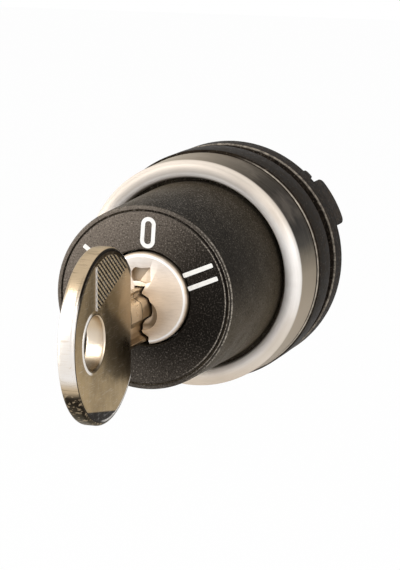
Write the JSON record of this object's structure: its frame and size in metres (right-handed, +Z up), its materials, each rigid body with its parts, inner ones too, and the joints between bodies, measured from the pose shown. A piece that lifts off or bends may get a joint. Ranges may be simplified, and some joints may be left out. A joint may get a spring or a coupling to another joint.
{
  "type": "key selector switch",
  "caption": "Panel-mounted key selector switch front: lock with its key in a black dial, satin silver bezel ring, black body with a castellated ring nut, cam and plungers behind.",
  "frame": {"origin": "on the lock axis in the panel's front plane, which is the gasket's rear face", "axes": "+Y along the lock axis towards the rear, -Y towards the person who turns the key, +Z up, +X to the right seen from the front"},
  "size_m": [0.0302, 0.0721, 0.0302],
  "materials": {
    "housing": "fine matt black moulding",
    "collar": "fine matt black moulding with light marks",
    "bezel_ring": "satin silver",
    "lock_plug": "nickel plated, fine turned face",
    "lock_cylinder": "die-cast zinc, satin",
    "key": "nickel-silver, lightly worn",
    "ring_nut": "black moulding",
    "rear_cover": "black moulding",
    "cam_drum": "off-white acetal",
    "plunger_left": "natural nylon",
    "plunger_right": "natural nylon",
    "panel_gasket": "smooth black rubber",
    "plug_seal": "smooth black rubber",
    "cylinder_seal": "smooth black rubber",
    "retaining_clip": "spring steel",
    "detent_ball_left": "polished steel",
    "detent_ball_right": "polished steel",
    "detent_spring_left": "spring steel",
    "detent_spring_right": "spring steel",
    "plunger_spring_left": "spring steel",
    "plunger_spring_right": "spring steel",
    "key_pin_1": "turned brass",
    "key_pin_2": "turned brass",
    "key_pin_3": "turned brass",
    "key_pin_4": "turned brass",
    "key_pin_5": "turned brass",
    "driver_pin_1": "turned steel",
    "driver_pin_2": "turned steel",
    "driver_pin_3": "turned steel",
    "driver_pin_4": "turned steel",
    "driver_pin_5": "turned steel",
    "pin_spring_1": "spring steel",
    "pin_spring_2": "spring steel",
    "pin_spring_3": "spring steel",
    "pin_spring_4": "spring steel",
    "pin_spring_5": "spring steel"
  },
  "bodies": {
    "housing": {"housing": "housing", "lock_cylinder": "lock_cylinder", "driver_pin_1": "driver_pin_1", "driver_pin_2": "driver_pin_2", "driver_pin_3": "driver_pin_3", "driver_pin_4": "driver_pin_4", "driver_pin_5": "driver_pin_5", "pin_spring_1": "pin_spring_1", "pin_spring_2": "pin_spring_2", "pin_spring_3": "pin_spring_3", "pin_spring_4": "pin_spring_4", "pin_spring_5": "pin_spring_5", "collar": "collar", "bezel_ring": "bezel_ring", "panel_gasket": "panel_gasket", "plug_seal": "plug_seal", "cylinder_seal": "cylinder_seal", "rear_cover": "rear_cover", "plunger_spring_left": "plunger_spring_left", "plunger_spring_right": "plunger_spring_right"},
    "plug": {"lock_plug": "lock_plug", "key_pin_1": "key_pin_1", "key_pin_2": "key_pin_2", "key_pin_3": "key_pin_3", "key_pin_4": "key_pin_4", "key_pin_5": "key_pin_5", "retaining_clip": "retaining_clip", "cam_drum": "cam_drum", "detent_ball_left": "detent_ball_left", "detent_ball_right": "detent_ball_right", "detent_spring_left": "detent_spring_left", "detent_spring_right": "detent_spring_right"},
    "key": {"key": "key"},
    "plunger_left": {"plunger_left": "plunger_left"},
    "plunger_right": {"plunger_right": "plunger_right"},
    "ring_nut": {"ring_nut": "ring_nut"}
  },
  "joints": [
    {"name": "key_turn", "type": "hinge", "parent": "housing", "child": "plug", "pos_m": [0, 0, 0], "axis": [0, 1, 0], "range_deg": [-60, 60]},
    {"name": "key_withdraw", "type": "slide", "parent": "plug", "child": "key", "axis": [0, -1, 0], "range_m": [0, 0.024]},
    {"name": "plunger_left_push", "type": "slide", "parent": "housing", "child": "plunger_left", "axis": [0, 1, 0], "range_m": [-0.0025, 0.0025], "deforming": ["plunger_spring_left"]},
    {"name": "plunger_right_push", "type": "slide", "parent": "housing", "child": "plunger_right", "axis": [0, 1, 0], "range_m": [-0.0025, 0.0025], "deforming": ["plunger_spring_right"]},
    {"name": "ring_nut_travel", "type": "slide", "parent": "housing", "child": "ring_nut", "axis": [0, 1, 0], "range_m": [-0.001, 0.004]}
  ],
  "couplings": [
    {"joint": "plunger_left_push", "follows": "key_turn", "m_per_rad": 0.0022918},
    {"joint": "plunger_right_push", "follows": "key_turn", "m_per_rad": -0.0022918}
  ]
}
